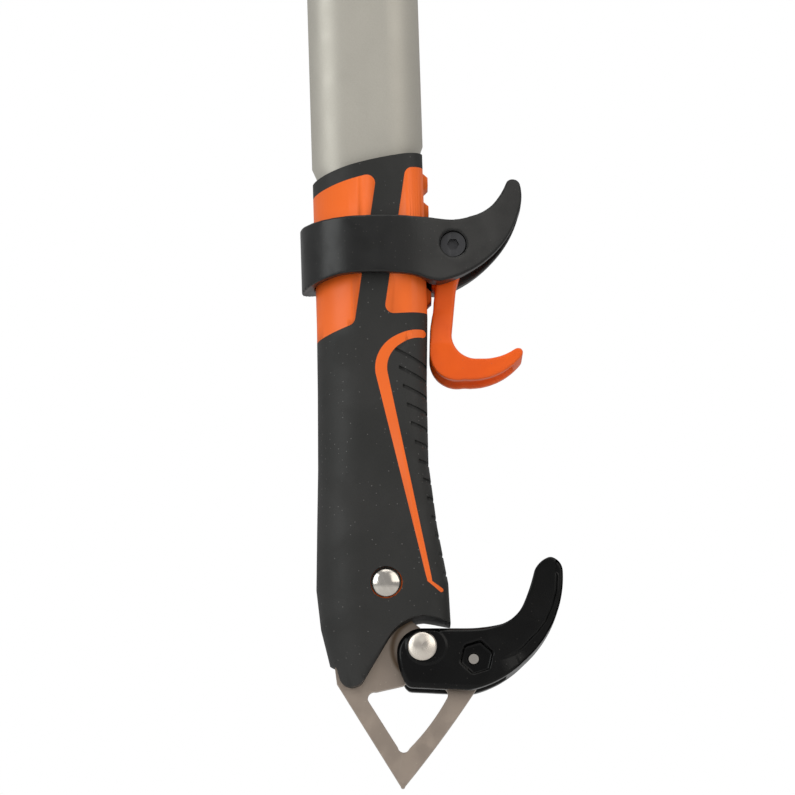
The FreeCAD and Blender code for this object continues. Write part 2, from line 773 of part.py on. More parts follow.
def collar_plan():
    """The trigger rest seen from above, about the handle's axis: a loop that narrows to a horn."""
    half = GRIP_HALF + COLLAR_CLEARANCE + COLLAR_SIDE_WALL
    rear = GRIP_REAR + COLLAR_CLEARANCE + COLLAR_REAR_WALL
    back = half - rear
    screw = SCREW_X - axis_x(SCREW_Z)
    shoulder = [(3.0, half), (13.4, 15.6), (screw, CHEEK_HALF)]
    horn = [(screw + 10.2, 8.2), (screw + 21.0, HORN_TIP_HALF)]
    near = [(x, -y) for x, y in shoulder + horn]
    return [
        [(-rear, 0), (back, -half)],
        near[:1],
        near[1:3],
        near[3:],
        [(screw + 22.6, 0), horn[1]],
        [horn[0], shoulder[2]],
        [shoulder[1], shoulder[0]],
        [(back, half)],
    ]


def collar_side():
    """The trigger rest seen from the side, from the screw: top of the loop, finger side of the
    horn, its tip, its back, and the underside of the loop."""
    return [
        [(-29.0, 7.1), (-15.5, 7.4)],
        [(-9.5, 7.2), (-3.6, 6.9)],
        [(1.0, 7.1), (5.2, 8.4)],
        [(8.5, 9.9), (11.2, 12.1)],
        [(13.5, 15.3), (15.2, 18.9)],
        [(17.0, 19.9), (19.0, 18.7)],
        [(19.5, 14.6), (18.6, 10.3)],
        [(15.8, 3.6), (11.0, -2.5)],
        [(4.2, -7.8), (-3.5, -11.0)],
        [(-6.2, -10.8), (-8.7, -10.1)],
        [(-11.6, -9.4), (-15.0, -9.1)],
        [(-23.0, -8.9), (-31.0, -9.3)],
        [(-38.0, -11.0), (-46.0, -14.2)],
        [(-46.0, 5.3)],
    ]


def trigger_collar():
    """The loop and horn of the trigger rest, with the slot that its lever works in."""
    foot = SCREW_Z - REACH / 2
    plan = Part.Face(closed_outline(collar_plan(), level(foot))).extrude(Vector(0, 0, REACH))
    side = slab(closed_outline(moved_runs(collar_side(), SCREW_X, SCREW_Z)), -REACH / 2, REACH / 2)
    body = on_axis(plan).common(side)
    bore = grip_bar(foot, foot + REACH, -COLLAR_CLEARANCE)
    body = body.cut(on_axis(bore)).cut(knob_channel()).cut(lever_slot())
    body = body.cut(pin(SCREW_X, SCREW_Z, SCREW_RADIUS, -REACH, REACH))
    seat = SCREW_SINK + SCREW_HEAD - CHEEK_HALF
    body = body.cut(pin(SCREW_X, SCREW_Z, RECESS_RADIUS, -REACH, seat))
    return body.cut(hexagon(SCREW_X, SCREW_Z, NUT_FLATS, CHEEK_HALF - NUT_HEIGHT, REACH))


def knob_channel():
    """Room for the knobs in the front of the bore."""
    reach = GRIP_FRONT + KNOB_HEIGHT + COLLAR_CLEARANCE
    half = KNOB_HALF_WIDTH + COLLAR_CLEARANCE
    return on_axis(Part.makeBox(reach, 2 * half, REACH, Vector(0, -half, SCREW_Z - REACH / 2)))


def lever_slot():
    """Room for the lever between the cheeks, open to the grip, below and at the back."""
    top = LEVER_HUB_RADIUS + LEVER_SIDE_GAP
    runs = [
        [(-9.0, top)],
        [(4.0, top)],
        [(8.0, 7.0), (12.2, 11.6)],
        [(14.4, 12.6), (16.0, 10.8)],
        [(30.0, 4.0)],
        [(30.0, -24.0)],
        [(-9.0, -24.0)],
    ]
    slot = slab(closed_outline(moved_runs(runs, SCREW_X, SCREW_Z)), -REACH, REACH)
    half = LEVER_HALF + LEVER_SIDE_GAP
    x = SCREW_X
    side = [(x - 20, half), (x + 5.5, half), (x + 16, HORN_TIP_HALF - 0.7), (x + 30, 1.5)]
    plan = level_slab([(x, -y) for x, y in side] + side[::-1], SCREW_Z - REACH, SCREW_Z + REACH)
    return slot.common(plan)


def lever_screw():
    """The cap screw, sunk in the near cheek, that the lever turns on."""
    near = -CHEEK_HALF + SCREW_SINK
    far = CHEEK_HALF - 0.6
    screw = pin(SCREW_X, SCREW_Z, SCREW_RADIUS, near + SCREW_HEAD, far)
    head = pin(SCREW_X, SCREW_Z, SCREW_HEAD_RADIUS, near, near + SCREW_HEAD)
    head = head.cut(hexagon(SCREW_X, SCREW_Z, SCREW_HEX_FLATS, near - PAST, near + SCREW_HEX_DEPTH))
    return head.fuse(screw)


def lever_nut():
    """The nut, caught in the far cheek."""
    far = CHEEK_HALF - NUT_HEIGHT
    nut = hexagon(SCREW_X, SCREW_Z, NUT_FLATS, far, far + NUT_HEIGHT - 0.4)
    return nut.cut(pin(SCREW_X, SCREW_Z, SCREW_RADIUS, -REACH, REACH))


def lever_bush():
    """The sleeve clamped between the cheeks."""
    half = LEVER_HALF + LEVER_SIDE_GAP
    bush = pin(SCREW_X, SCREW_Z, BUSH_RADIUS, -half, half)
    return bush.cut(pin(SCREW_X, SCREW_Z, SCREW_RADIUS, -REACH, REACH))


def lever_runs():
    """Side outline of the lever's arm and hook, from the screw."""
    return [
        [(-5.0, -12.0)],
        [(-6.5, -24.0)],
        [(-6.6, -30.0)],
        [(-4.4, -36.0), (3.0, -38.2)],
        [(12.6, -36.6), (19.4, -31.2)],
        [(19.5, -29.7), (17.6, -29.2)],
        [(12.6, -31.6), (7.4, -32.1)],
        [(1.6, -30.1), (-0.4, -25.0)],
        [(0.9, -11.0)],
        [(3.4, -2.0)],
        [(-3.6, -2.0)],
    ]


def trigger_lever():
    """The lever: two ears on the sleeve, a latch nose, an arm and a grooved finger hook."""
    arm_outline = closed_outline(moved_runs(lever_runs(), SCREW_X, SCREW_Z))
    arm = slab(arm_outline, -LEVER_HOOK_HALF, LEVER_HOOK_HALF)
    side = []
    for y, z in (
        (LEVER_HALF, 10), (LEVER_HALF, -18), (LEVER_HOOK_HALF, -28), (LEVER_HOOK_HALF, -45),
        (-LEVER_HOOK_HALF, -45), (-LEVER_HOOK_HALF, -28), (-LEVER_HALF, -18), (-LEVER_HALF, 10),
    ):
        side.append(Vector(SCREW_X - 30, y, SCREW_Z + z))
    arm = arm.common(flat_face(side).extrude(Vector(70, 0, 0)))
    hub = pin(SCREW_X, SCREW_Z, LEVER_HUB_RADIUS, -LEVER_HALF, LEVER_HALF)
    lever = arm.fuse([hub, latch_nose()])
    gap_foot = SCREW_Z - LEVER_HUB_RADIUS - 0.3
    corner = Vector(SCREW_X - 9, -SPRING_SLOT / 2, gap_foot)
    lever = lever.cut(Part.makeBox(18, SPRING_SLOT, SCREW_Z + 9 - gap_foot, corner))
    lever = lever.cut(pin(SCREW_X, SCREW_Z, BUSH_RADIUS + LEVER_RUNNING_GAP, -REACH, REACH))
    deep = LEVER_GROOVE_DEPTH
    groove = [
        [(-10.0, -15.4)],
        [(-5.6 + deep, -17.4)],
        [(-6.5 + deep, -24.0)],
        [(-6.6 + deep, -29.5)],
        [(-2.8, -34.1), (3.0, -38.2 + deep)],
        [(10.0, -37.2 + deep), (16.2, -32.6)],
        [(24.0, -38.0)],
        [(10.0, -46.0)],
        [(-10.0, -46.0)],
    ]
    groove_outline = closed_outline(moved_runs(groove, SCREW_X, SCREW_Z))
    return lever.cut(slab(groove_outline, -LEVER_GROOVE_HALF, LEVER_GROOVE_HALF)).removeSplitter()


def latch_nose():
    """The nose that faces the valley between two knobs, just clear of their tops."""
    height = SCREW_Z - NOSE_DROP
    tip = axis_x(height) + GRIP_FRONT + KNOB_HEIGHT + NOSE_GAP
    half = KNOB_HALF_WIDTH - 0.6
    runs = [
        [(tip, height + 1.1)],
        [(tip + 2.2, height + 4.4)],
        [(SCREW_X, SCREW_Z - 3.4)],
        [(SCREW_X, height - 4.6)],
        [(tip + 2.4, height - 4.2)],
        [(tip, height - 1.1)],
    ]
    return slab(closed_outline(runs), -half, half)


def spring_leg(points, y):
    """A straight or bent leg of the spring, at the side where one end of the coil is."""
    half = SPRING_LEG / 2
    upper = []
    lower = []
    for number, (x, z) in enumerate(points):
        before = points[max(number - 1, 0)]
        after = points[min(number + 1, len(points) - 1)]
        side = Vector(before[1] - after[1], 0, after[0] - before[0]).normalize() * half
        place = Vector(SCREW_X + SPRING_RADIUS + x, y - half, SCREW_Z + z)
        upper.append(place + side)
        lower.append(place - side)
    return flat_face(upper + lower[::-1]).extrude(Vector(0, SPRING_LEG, 0))


def lever_spring():
    """The torsion spring round the sleeve, one leg on the horn's web and one on the arm."""
    length = SPRING_TURNS * SPRING_PITCH
    wire = SPRING_WIRE / 2
    inner = SPRING_RADIUS - wire
    outer = SPRING_RADIUS + wire
    corners = [Vector(inner, 0, -wire), Vector(outer, 0, -wire)]
    corners += [Vector(outer, 0, wire), Vector(inner, 0, wire)]
    helix = Part.makeHelix(SPRING_PITCH, length, SPRING_RADIUS)
    section = Part.makePolygon(corners + corners[:1])
    coil = Part.Wire(helix.Edges).makePipeShell([section], True, True)
    coil.Placement = Placement(Vector(SCREW_X, length / 2, SCREW_Z), Rotation(Vector(1, 0, 0), 90))
    arm_leg = spring_leg(SPRING_ARM_LEG, length / 2)
    return coil.fuse([arm_leg, spring_leg(SPRING_WEB_LEG, -length / 2)])


def blade_frame():
    """The frame of pick, hammer and eye: it turns back from the shaft's end, so the pick rises."""
    return head_frame().multiply(Placement(Vector(0, 0, 0), Rotation(Vector(0, 1, 0), -BLADE_RISE)))


def placed(shape, frame):
    """Carries a shape from another frame onto the tool."""
    shape = shape.copy()
    shape.Placement = frame.multiply(shape.Placement)
    return shape


def head_rivet_bars(radius):
    """Bars through the shaft's top end, where the head's rivets go."""
    reach = SHAFT_THICKNESS / 2
    return [placed(pin(0.0, -depth, radius, -reach, reach), head_frame()) for depth in HEAD_RIVET_DEPTHS]


def head_runs():
    """Side outline of the head, from the middle of the shaft's end, in the blade's frame."""
    half = SHAFT_WIDTH / 2
    hump = HEAD_EYE_RADIUS + HEAD_EYE_WALL
    eye = HEAD_EYE_HEIGHT
    return [
        [(-half, 0.0)],
        [(-half - 3.0, 6.5), (-half - 10.0, 9.5)],
        [(-HEAD_BACK + 3.0, 10.5)],
        [(-HEAD_BACK + 0.9, 11.4), (-HEAD_BACK, 13.5)],
        [(-HEAD_BACK, HEAD_CHEEK_TOP - 3.0)],
        [(-HEAD_BACK + 0.9, HEAD_CHEEK_TOP - 0.9), (-HEAD_BACK + 3.0, HEAD_CHEEK_TOP)],
        [(-hump - 4.0, HEAD_CHEEK_TOP + 1.0)],
        [(-hump - 0.9, eye - 3.4), (-hump, eye)],
        [(0.0, eye + hump), (hump, eye)],
        [(hump + 0.9, eye - 3.4), (hump + 4.0, HEAD_CHEEK_TOP + 1.0)],
        [(HEAD_REACH - 3.5, HEAD_CHEEK_TOP)],
        [(HEAD_REACH - 1.0, HEAD_CHEEK_TOP - 1.0), (HEAD_REACH, HEAD_CHEEK_TOP - 3.5)],
        [(HEAD_REACH, 12.0)],
        [(HEAD_REACH - 1.0, 9.6), (HEAD_REACH - 3.5, 8.6)],
        [(half + 9.0, 8.0)],
        [(half + 3.0, 5.5), (half, 0.0)],
    ]


def head():
    """The forged head: cheeks front and back, an eye on top and a spigot below."""
    half = HEAD_THICKNESS / 2
    body = slab(closed_outline(head_runs()), -half, half)
    slot = PICK_THICKNESS / 2 + SLOT_GAP
    for corner in (SLOT_FLOOR, -SLOT_FLOOR - REACH):
        body = body.cut(Part.makeBox(REACH, 2 * slot, REACH, Vector(corner, -slot, 4.0)))
    body = body.cut(pin(0.0, HEAD_EYE_HEIGHT, HEAD_EYE_RADIUS, -REACH, REACH))
    for x, z in (PICK_BOLT, HAMMER_BOLT):
        body = body.cut(pin(x, z, BOLT_HOLE_RADIUS, -REACH, REACH))

    width = SHAFT_WIDTH / 2
    thick = SHAFT_THICKNESS / 2
    shoulder = Part.makeLoft([
        oval(width, width, thick, 0.0),
        oval(width - 0.4, width - 0.4, thick - 0.4, HEAD_SHOULDER / 3),
        oval(width - 2.0, width - 2.0, half, HEAD_SHOULDER),
    ], True, True)
    inset = SHAFT_WALL + SPIGOT_GAP
    spigot = oval_bar(width - inset, width - inset, thick - inset, -SPIGOT_LENGTH, 1.0)
    frame = head_frame()
    below = Part.makeBox(200, 200, 100, Vector(-100, -100, -100))
    body = placed(body, blade_frame()).cut(placed(below, frame))
    body = body.fuse([placed(shoulder, frame), placed(spigot, frame)])
    for hole in head_rivet_bars(HEAD_RIVET_RADIUS):
        body = body.cut(hole)
    return body


def pick_lower_edge():
    """The lower edge of the pick, which the teeth are cut in."""
    tip_x, tip_z = PICK_TIP
    return [(tip_x - 7.0, tip_z + 2.2), (140.0, -9.5), (112.0, 3.6), (80.0, 10.4), (HEAD_REACH + 6.0, 11.4)]


def pick():
    """The curved pick: a plate with teeth below and a thinned tip."""
    tip_x, tip_z = PICK_TIP
    lower = pick_lower_edge()
    half = PICK_THICKNESS / 2
    base = SLOT_FLOOR + SLOT_GAP
    runs = [
        [(base, HEAD_CHEEK_TOP - 1.0)],
        [(HEAD_REACH, HEAD_CHEEK_TOP - 1.0)],
        [(76.0, 28.2), (110.0, 19.0), (140.0, 1.8), (tip_x, tip_z + 2.0)],
        [(tip_x, tip_z)],
        [lower[0]],
        lower[1:],
        [(HEAD_REACH + 2.0, 9.6)],
        [(base, 9.6)],
    ]
    wire = closed_outline(runs)
    blade = slab(wire, -half, half)
    edge = wire.Edges[5]
    notches = []
    for tooth in range(TOOTH_COUNT):
        start = TOOTH_START + tooth * TOOTH_PITCH
        corners = []
        for along, depth in ((0.0, -1.0), (0.0, 0.0), (0.22, TOOTH_DEPTH), (0.9, 0.0), (0.9, -1.0)):
            place = edge.getParameterByLength(start + along * TOOTH_PITCH)
            point = edge.valueAt(place)
            tangent = edge.tangentAt(place)
            inward = Vector(tangent.z, 0, -tangent.x)
            if inward.z < 0:
                inward = inward * -1
            corners.append(point + inward * depth)
        notches.append(flat_face(corners))
    for face in notches:
        face.translate(Vector(0, -half - 1, 0))
        blade = blade.cut(face.extrude(Vector(0, PICK_THICKNESS + 2, 0)))
    taper = PICK_TAPER_LENGTH
    thin = PICK_TIP_THICKNESS / 2
    for side in (-1, 1):
        clear = side * (half + 2)
        wedge = [(tip_x - taper, side * half), (tip_x + 1, side * thin)]
        wedge += [(tip_x + 1, clear), (tip_x - taper, clear)]
        blade = blade.cut(level_slab(wedge, -80, 80))
    x, z = PICK_BOLT
    blade = blade.cut(pin(x, z, BOLT_HOLE_RADIUS, -REACH, REACH))
    return placed(blade, blade_frame())


def square_section(height, width, corner, out):
    """A square section with cut corners, at a distance out along the hammer."""
    half_height = height / 2
    half_width = width / 2
    quarter = [(half_height, half_width - corner), (half_height - corner, half_width)]
    quarter += [(-x, y) for x, y in quarter[::-1]]
    points = quarter + [(-x, -y) for x, y in quarter]
    return [Vector(x, y, out) for x, y in points]


def faceted_bar(sections):
    """A solid through several sections with the same number of corners, all its sides flat."""
    faces = [flat_face(sections[0]), flat_face(sections[-1])]
    for low, high in zip(sections, sections[1:]):
        for corner in range(len(low)):
            after = (corner + 1) % len(low)
            faces.append(flat_face([low[corner], low[after], high[after], high[corner]]))
    solid = Part.Solid(Part.Shell(faces))
    solid.fixTolerance(1e-5)
    return solid


def hammer():
    """The hammer: a tang between the rear cheeks and a square poll with a flat face."""
    base = SLOT_FLOOR + SLOT_GAP
    half = PICK_THICKNESS / 2
    tang = Part.makeBox(HEAD_BACK + 4 - base, PICK_THICKNESS, HAMMER_TANG,
                        Vector(-HEAD_BACK - 4, -half, HAMMER_CENTRE - HAMMER_TANG / 2))
    low = HEAD_BACK + 0.2
    rim = low + HAMMER_LENGTH - HAMMER_CHAMFER
    poll = faceted_bar([
        square_section(HAMMER_NECK_HEIGHT + 2, HAMMER_NECK_WIDTH, 2.0, low),
        square_section(HAMMER_NECK_HEIGHT, HAMMER_NECK_WIDTH + 0.8, 2.6, low + HAMMER_LENGTH * 0.3),
        square_section(HAMMER_FACE_HEIGHT, HAMMER_FACE_WIDTH, 3.2, low + HAMMER_LENGTH * 0.62),
        square_section(HAMMER_FACE_HEIGHT, HAMMER_FACE_WIDTH, 3.2, rim),
        square_section(HAMMER_FACE_HEIGHT - 2 * HAMMER_CHAMFER, HAMMER_FACE_WIDTH - 2 * HAMMER_CHAMFER,
                       2.6, rim + HAMMER_CHAMFER),
    ])
    poll.Placement = Placement(Vector(0, 0, HAMMER_CENTRE), Rotation(Vector(0, 1, 0), -90))
    body = tang.fuse(poll)
    x, z = HAMMER_BOLT
    body = body.cut(pin(x, z, BOLT_HOLE_RADIUS, -REACH, REACH))
    return placed(body, blade_frame())


def cheek_bolt(place):
    """A hexagon bolt through a pair of cheeks."""
    x, z = place
    half = HEAD_THICKNESS / 2
    bolt = pin(x, z, BOLT_RADIUS, -half, half + BOLT_NUT + BOLT_END)
    bolt = bolt.fuse(hexagon(x, z, BOLT_FLATS, -half - BOLT_HEAD, -half))
    return placed(bolt, blade_frame())


def cheek_nut(place):
    """Its nut, on the far side."""
    x, z = place
    half = HEAD_THICKNESS / 2
    nut = hexagon(x, z, BOLT_FLATS, half, half + BOLT_NUT)
    return placed(nut.cut(pin(x, z, BOLT_RADIUS, -REACH, REACH)), blade_frame())


def head_rivets():
    """Two rivets through the shaft and the spigot."""
    rivets = []
    for depth in HEAD_RIVET_DEPTHS:
        rivets.append(flat_rivet(0.0, -depth, HEAD_RIVET_RADIUS, HEAD_RIVET_HEAD_RADIUS,
                                 SHAFT_THICKNESS / 2, HEAD_RIVET_HEAD))
    return placed(Part.makeCompound(rivets), head_frame())


def eye_centre():
    """The centre of the eye in the head, which becomes the origin."""
    return blade_frame().multVec(Vector(0, 0, HEAD_EYE_HEIGHT))


def build():
    """Every piece under its name, moved so that the eye of the head is the origin."""
    core, cover = core_and_cover()
    pieces = {
        "shaft": shaft(),
        "grip_core": core,
        "grip_cover": cover,
        "spike_plate": spike_plate(),
        "tang_spacer_near": tang_spacer(-1),
        "tang_spacer_far": tang_spacer(1),
        "spike_rivet": spike_rivet(),
        "tang_pin": tang_pin(),
        "grip_rest": grip_rest(),
        "rest_rivet": rest_rivet(),
        "rest_spacers": rest_spacers(),
        "rest_cross_pin": rest_cross_pin(),
        "trigger_collar": trigger_collar(),
        "lever_screw": lever_screw(),
        "lever_nut": lever_nut(),
        "lever_bush": lever_bush(),
        "lever_spring": lever_spring(),
        "trigger_lever": trigger_lever(),
        "head": head(),
        "pick": pick(),
        "hammer": hammer(),
        "pick_bolt": cheek_bolt(PICK_BOLT),
        "pick_nut": cheek_nut(PICK_BOLT),
        "hammer_bolt": cheek_bolt(HAMMER_BOLT),
        "hammer_nut": cheek_nut(HAMMER_BOLT),
        "head_rivets": head_rivets(),
    }
    origin = eye_centre()
    os.makedirs("parts", exist_ok=True)
    for name, shape in pieces.items():
        shape.translate(origin * -1)
        shape.exportStep("parts/" + name + ".step")
        print(name, len(shape.Solids), round(shape.Volume, 1), shape.isValid())


build()
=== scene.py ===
# %% [markdown]
# # An ice climbing tool
# The solids of the tool come in first: bent tube, rubber grip, spike, hand rest, trigger rest, pick
# and hammer. This script gives each of them its finish, and remakes those whose edges and curves
# need more than a plain solid shows. Everything is in metres, and the round eye in the head, which
# the tool hangs from, is the origin.

import json
import math

import bmesh
import bpy
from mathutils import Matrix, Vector


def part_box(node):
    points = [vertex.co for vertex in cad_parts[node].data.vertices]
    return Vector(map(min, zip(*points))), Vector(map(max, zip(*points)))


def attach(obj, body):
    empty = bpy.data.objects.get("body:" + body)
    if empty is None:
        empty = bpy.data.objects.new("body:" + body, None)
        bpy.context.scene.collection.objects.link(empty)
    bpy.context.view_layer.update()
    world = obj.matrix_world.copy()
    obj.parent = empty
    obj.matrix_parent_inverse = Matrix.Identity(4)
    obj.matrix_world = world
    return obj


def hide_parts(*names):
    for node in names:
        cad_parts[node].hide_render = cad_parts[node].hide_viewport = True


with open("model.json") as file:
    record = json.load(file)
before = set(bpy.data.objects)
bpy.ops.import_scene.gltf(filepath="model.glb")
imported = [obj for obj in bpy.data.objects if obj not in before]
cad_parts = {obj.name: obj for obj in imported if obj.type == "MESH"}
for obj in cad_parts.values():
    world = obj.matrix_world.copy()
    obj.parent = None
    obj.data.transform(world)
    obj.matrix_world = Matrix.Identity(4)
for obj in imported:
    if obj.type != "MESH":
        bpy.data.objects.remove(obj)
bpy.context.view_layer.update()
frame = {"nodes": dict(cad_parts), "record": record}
MM = 0.001
print("solids:", len(frame["nodes"]))

# %% [markdown]
# Heights and distances are easiest to think of from the tip of the spike. The rivet of the hand rest
# is a known place, so it fixes where the tip is, and `at` turns a place measured from the tip, in
# millimetres, into the scene's own metres. The rivet's own centre is kept, because the plate's stain
# and the turned rivet's rings lie round it.

# %% Measure from the tip of the spike
REST_RIVET = (14.05, 38.9)
rivet_low, rivet_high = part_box("rest_rivet")
TIP = Vector((
    (rivet_low.x + rivet_high.x) / 2 - REST_RIVET[0] * MM,
    0,
    (rivet_low.z + rivet_high.z) / 2 - REST_RIVET[1] * MM,
))


def at(x, y, z):
    """A place measured from the tip of the spike, in millimetres."""
    return TIP + Vector((x, y, z)) * MM


REST_CENTRE = at(REST_RIVET[0], 0, REST_RIVET[1])
print("tip of the spike:", [round(value, 4) for value in TIP])

# %% [markdown]
# Real surfaces are never one flat colour. Blasted metal has a grain, rubber has dust specks, plastic
# is smeared by hands, and ground steel has fine scratches. Several finishes need the same effects, so
# each effect is a node group that puts out one value, and every material sets its own numbers.

# %% Shared effects
def new_group(name, inputs, output):
    """A shader node group with named number inputs and one number output."""
    group = bpy.data.node_groups.new(name, "ShaderNodeTree")
    for label, value in inputs.items():
        socket = group.interface.new_socket(label, in_out="INPUT", socket_type="NodeSocketFloat")
        socket.default_value = value
    group.interface.new_socket(output, in_out="OUTPUT", socket_type="NodeSocketFloat")
    start = group.nodes.new("NodeGroupInput")
    end = group.nodes.new("NodeGroupOutput")
    place = group.nodes.new("ShaderNodeTexCoord").outputs["Object"]
    return group, start, end, place


def ramp(group, source, low, high):
    """Turns a value into 0 below low and 1 above high, smoothly."""
    node = group.nodes.new("ShaderNodeMapRange")
    node.interpolation_type = "SMOOTHSTEP"
    node.inputs["From Min"].default_value = low
    node.inputs["From Max"].default_value = high
    group.links.new(source, node.inputs["Value"])
    return node.outputs["Result"]


def math_node(group, operation, first, second):
    """One sum on two values, each a socket or a number."""
    node = group.nodes.new("ShaderNodeMath")
    node.operation = operation
    for socket, value in zip(node.inputs, (first, second)):
        if isinstance(value, (int, float)):
            socket.default_value = value
        else:
            group.links.new(value, socket)
    return node.outputs[0]


def make_grain():
    """Fine even grain: blasted metal, moulded plastic, rubber."""
    group, start, end, place = new_group("grain", {"Scale": 2000.0, "Detail": 2.0}, "Height")
    noise = group.nodes.new("ShaderNodeTexNoise")
    group.links.new(place, noise.inputs["Vector"])
    group.links.new(start.outputs["Scale"], noise.inputs["Scale"])
    group.links.new(start.outputs["Detail"], noise.inputs["Detail"])
    group.links.new(noise.outputs["Fac"], end.inputs["Height"])
    return group


def make_smear():
    """Broad soft patches, where hands have polished or dulled a surface."""
    group, start, end, place = new_group("smear", {"Scale": 60.0}, "Mask")
    noise = group.nodes.new("ShaderNodeTexNoise")
    noise.inputs["Detail"].default_value = 3.0
    noise.inputs["Distortion"].default_value = 0.6
    group.links.new(place, noise.inputs["Vector"])
    group.links.new(start.outputs["Scale"], noise.inputs["Scale"])
    group.links.new(ramp(group, noise.outputs["Fac"], 0.35, 0.68), end.inputs["Mask"])
    return group


def make_specks():
    """Scattered dust specks and tiny chips."""
    group, start, end, place = new_group("specks", {"Scale": 900.0, "Size": 0.12}, "Mask")
    cells = group.nodes.new("ShaderNodeTexVoronoi")
    group.links.new(place, cells.inputs["Vector"])
    group.links.new(start.outputs["Scale"], cells.inputs["Scale"])
    near = math_node(group, "LESS_THAN", cells.outputs["Distance"], start.outputs["Size"])
    pick = group.nodes.new("ShaderNodeSeparateColor")
    group.links.new(cells.outputs["Color"], pick.inputs["Color"])
    some = math_node(group, "GREATER_THAN", pick.outputs["Red"], 0.72)
    group.links.new(math_node(group, "MULTIPLY", near, some), end.inputs["Mask"])
    return group


def make_scratches():
    """Long thin scratches that run one way: a noise drawn out along one direction."""
    group, start, end, place = new_group(
        "scratches", {"Scale": 900.0, "Turn": 0.0, "Length": 30.0}, "Mask")
    turned = group.nodes.new("ShaderNodeVectorRotate")
    turned.rotation_type = "Y_AXIS"
    group.links.new(place, turned.inputs["Vector"])
    group.links.new(start.outputs["Turn"], turned.inputs["Angle"])
    parts = group.nodes.new("ShaderNodeSeparateXYZ")
    group.links.new(turned.outputs["Vector"], parts.inputs["Vector"])
    along = math_node(group, "DIVIDE", parts.outputs["X"], start.outputs["Length"])
    joined = group.nodes.new("ShaderNodeCombineXYZ")
    group.links.new(along, joined.inputs["X"])
    group.links.new(parts.outputs["Y"], joined.inputs["Y"])
    group.links.new(parts.outputs["Z"], joined.inputs["Z"])
    noise = group.nodes.new("ShaderNodeTexNoise")
    noise.inputs["Detail"].default_value = 2.0
    group.links.new(joined.outputs["Vector"], noise.inputs["Vector"])
    group.links.new(start.outputs["Scale"], noise.inputs["Scale"])
    group.links.new(ramp(group, noise.outputs["Fac"], 0.52, 0.72), end.inputs["Mask"])
    return group


EFFECTS = {
    "grain": make_grain(),
    "smear": make_smear(),
    "specks": make_specks(),
    "scratches": make_scratches(),
}
print("effects:", ", ".join(EFFECTS))

# %% [markdown]
# A finish starts as one shader with its constant values set on it. Small helpers then mix colours by
# a mask, vary the roughness by another, and turn heights into bumps.

# %% Build a finish
COLOUR_MASK, COLOUR_FIRST, COLOUR_SECOND, COLOUR_MIXED = 0, 6, 7, 2


